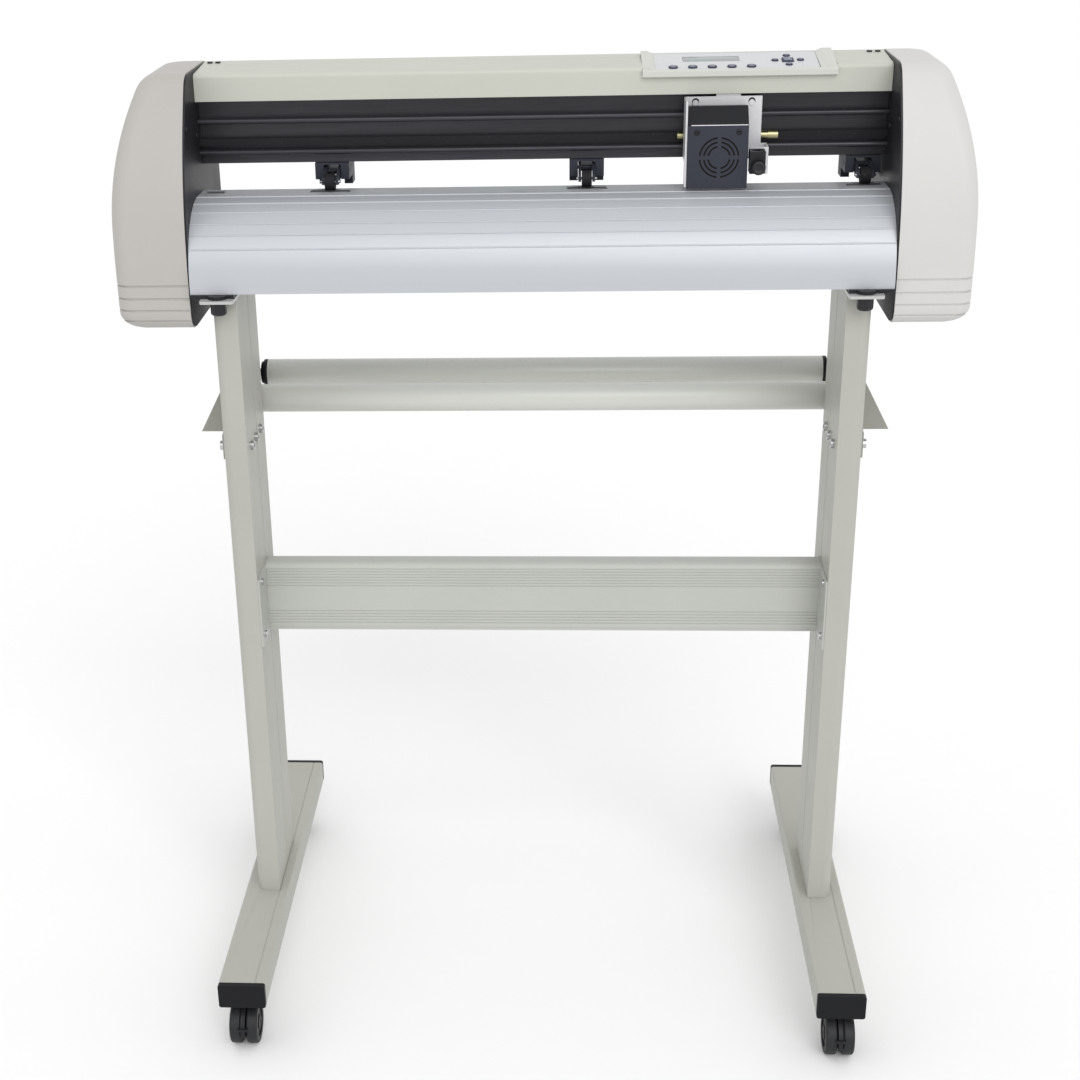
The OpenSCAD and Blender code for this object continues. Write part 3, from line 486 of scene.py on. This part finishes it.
def media_roller(place):
    """A painted tube with a black plug in each end and a steel pin that turns in the bracket."""
    node = f"media_roller_{place}"
    low, high = box_mm(node)
    centre = (0, (low[1] + high[1]) / 2, (low[2] + high[2]) / 2)
    radius = (high[1] - low[1]) / 2
    half, wall, pin_end = TUBE_HALF, TUBE_WALL, high[0]

    bm = bmesh.new()
    lathe(bm, [(radius - wall, -half), (radius - 0.4, -half), (radius, 0.4 - half), (radius, half - 0.4),
               (radius - 0.4, half), (radius - wall, half)], centre, "x", 64, closed=True)
    piece(f"{node}_tube", bm, "roller_paint", node, node)

    bm = bmesh.new()
    for side in (-1, 1):
        plug = [(radius - wall - 0.1, half - 12), (radius - wall - 0.1, half + 0.1),
                (radius - 0.5, half + 0.1), (radius, half + 0.6), (radius, half + 4.2),
                (radius - 0.6, half + 4.8), (13.6, half + 4.9), (13.6, half + 7.4), (13, half + 8),
                (5.5, half + 8.1)]
        lathe(bm, [(r, side * x) for r, x in plug], centre, "x", 64)
    piece(f"{node}_plugs", bm, "cap_plastic", node, node)

    bm = bmesh.new()
    for side in (-1, 1):
        pin = [(4.95, half + 8), (4.95, pin_end - 0.5), (4.45, pin_end)]
        lathe(bm, [(r, side * x) for r, x in pin], centre, "x", 32)
    piece(f"{node}_pins", bm, "steel", node, node)


def pinch_axle(place):
    """The bright steel axle through a pinch wheel, with a chamfer at each end."""
    node = f"pinch_wheel_{place}"
    low, high = box_mm(node)
    centre = [(a + b) / 2 for a, b in zip(low, high)]
    half = (high[0] - low[0]) / 2 + 0.05
    bm = bmesh.new()
    lathe(bm, [(1.1, -half), (1.55, 0.4 - half), (1.55, half - 0.4), (1.1, half)], centre, "x", 24)
    piece(f"{node}_axle", bm, "pulley_metal", node)


def tool_knob():
    """A fluted clamping knob with a recessed centre, and its threaded stem."""
    low, high = box_mm("tool_knob")
    centre = ((low[0] + high[0]) / 2, low[1], (low[2] + high[2]) / 2)
    radius = (high[0] - low[0]) / 2 - 0.35
    head = 12.6
    bm = bmesh.new()
    lathe(bm, [(radius - 1.6, head), (radius - 0.4, head - 0.8), (radius, head - 2), (radius, 1.8),
               (radius - 0.5, 0.7), (radius - 1.6, 0), (radius - 2.6, 0), (radius - 3.2, 0.8), (0.8, 0.8)],
          centre, "y", 96, ripple=(24, 0.3))
    piece("tool_knob_grip", bm, "knob_plastic", "tool_knob", "tool_knob")
    bm = bmesh.new()
    end = high[1] - low[1]
    thread = [(1.6 + 0.35 * (i % 2), head - 0.4 + (end - head + 0.2) * i / 12) for i in range(13)]
    lathe(bm, thread, centre, "y", 24)
    piece("tool_knob_stem", bm, "pulley_metal", "tool_knob", "tool_knob")


def cover_screws():
    """Two dark button-head screws in the carriage cover's front, each with a round socket."""
    low, high = box_mm("carriage_cover")
    front = low[1]
    height = low[2] + 59.5
    bm = bmesh.new()
    for x in (low[0] + 9.5, high[0] - 10):
        head = [(2.9, -0.4), (2.9, 0.5), (2.6, 1.1), (1.9, 1.5), (1.5, 1.5), (1.5, 0.3)]
        lathe(bm, [(r, -y) for r, y in head], (x, front, height), "y", 24)
    piece("carriage_cover_screws", bm, "knob_plastic", "carriage")


def grille_shade_sheet():
    """A dark sheet behind the fan grille: painted shade for the inside of the carriage cover."""
    low, high = box_mm("carriage_cover")
    bm = bmesh.new()
    outline = round_rectangle(low[0] + 9, low[1] + 2.1, high[0] - 9, low[1] + 2.9, 0.3, 2)
    slab(bm, outline, low[2] + 8, low[2] + 58)
    soften(piece("carriage_grille_shade_sheet", bm, "coil_tape", "carriage"), 0.12)


def crease_highlight_strip():
    """A thin bright strip where the carriage cover's front turns back: a painted highlight on the crease."""
    low, high = box_mm("carriage_cover")
    bm = bmesh.new()
    outline = round_rectangle(low[0] + 3.5, low[1] - 0.35, high[0] - 0.6, low[1] + 0.6, 0.4, 2)
    slab(bm, outline, low[2] + 66.4, low[2] + 67.3)
    soften(piece("carriage_crease_highlight_strip", bm, "carriage_metal", "carriage"), 0.12)


PANEL_FRONT, PANEL_HEIGHT, PANEL_TILT = 22, 1071.4, 9    # the overlay's front edge and its slope
DISPLAY = (155.3, 33.3, 215.7, 51.7)                     # x, depth; x, depth, measured on the overlay
FIRST_KEY, KEY_PITCH, KEY_ROW = 143.7, 20.8, 13
PAD_X, PAD_ROW = 267, 33                                 # the middle of the enter key
PAD_SIDE, PAD_AHEAD = 13.6, 16                           # steps from it to the direction keys


def on_panel(bm):
    """Moves what was drawn flat, from the overlay's front edge back, to where the tilted overlay is."""
    place = Matrix.Translation((0, PANEL_FRONT, PANEL_HEIGHT))
    bm.transform(place @ Matrix.Rotation(math.radians(PANEL_TILT), 4, "X"))
    return bm


def screen():
    """The display's window, sunk into the overlay."""
    bm = bmesh.new()
    slab(bm, round_rectangle(*DISPLAY, 0.5, 2), -0.45, -0.2)
    glass = piece("display_window", on_panel(bm), "panel_film", "root")
    glass.data.materials[0] = MATERIALS["display"]


def painted_key_highlights():
    """Painted highlight on each key: a domed disc in its middle, coloured lighter than the key."""
    places = {f"key_function_{i + 1}": (FIRST_KEY + KEY_PITCH * i, KEY_ROW, 3.3) for i in range(5)}
    steps = (("up", 0, PAD_AHEAD), ("down", 0, -PAD_AHEAD), ("left", -PAD_SIDE, 0), ("right", PAD_SIDE, 0))
    for name, dx, dy in steps:
        places[f"key_{name}"] = (PAD_X + dx, PAD_ROW + dy, 2.3)
    for node, (x, y, radius) in places.items():
        bm = bmesh.new()
        dome = [(radius, 0.9), (radius, 1.2), (radius * 0.85, 1.38), (radius * 0.5, 1.5), (0.4, 1.55)]
        lathe(bm, dome, (x, y, 0), "z", 32)
        highlight_dome = piece(f"{node}_cap", on_panel(bm), "key_rubber", node)
        highlight_dome.data.materials[0] = MATERIALS["painted_key_highlight"]
    bm = bmesh.new()
    outline = round_rectangle(PAD_X - 4.4, PAD_ROW - 4.6, PAD_X + 4.4, PAD_ROW + 4.6, 1.4)
    slab(bm, outline, 0.9, 1.5)
    highlight_dome = piece("key_enter_highlight_dome", on_panel(bm), "key_rubber", "key_enter")
    highlight_dome.data.materials[0] = MATERIALS["painted_key_highlight"]
    soften(highlight_dome, 0.4, 3)


def inlet():
    """The mains inlet: a black lining with three flat pins."""
    bm = bmesh.new()
    x0, x1, z0, z1, front, back = -422.8, -405.2, 840.2, 855.8, 137.9, 124
    rim = round_rectangle(x0, z0, x1, z1, 2.4)
    throat = round_rectangle(x0 + 1.2, z0 + 1.2, x1 - 1.2, z1 - 1.2, 1.6)
    rings = [[(x, y, z) for x, z in outline] for outline, y in
             ((rim, back), (rim, front), (throat, front), (throat, back + 1))]
    loops = bridge(bm, rings, closed=True)
    bm.faces.new(loops[0])
    bm.faces.new(loops[-1])
    soften(piece("power_inlet_lining", bm, "knob_plastic", "root"), 0.25)
    bm = bmesh.new()
    for x, z in ((-414, 851.4), (-418.2, 846), (-409.8, 846)):
        outline = round_rectangle(x - 0.7, z - 1.8, x + 0.7, z + 1.8, 0.3, 2)
        loops = bridge(bm, [[(a, y, b) for a, b in outline] for y in (back + 1, front - 3)], closed=True)
        bm.faces.new(loops[0])
        bm.faces.new(loops[-1])
    piece("power_inlet_pins", bm, "brass", "root")


make_camera()
make_studio()
dress_all()
side_cover("left", "cover_left")
side_cover("right", "cover_right")
for place in ("front", "rear"):
    media_roller(place)
for place in ("left", "middle", "right"):
    pinch_axle(place)
tool_knob()
cover_screws()
grille_shade_sheet()
crease_highlight_strip()
screen()
painted_key_highlights()
inlet()
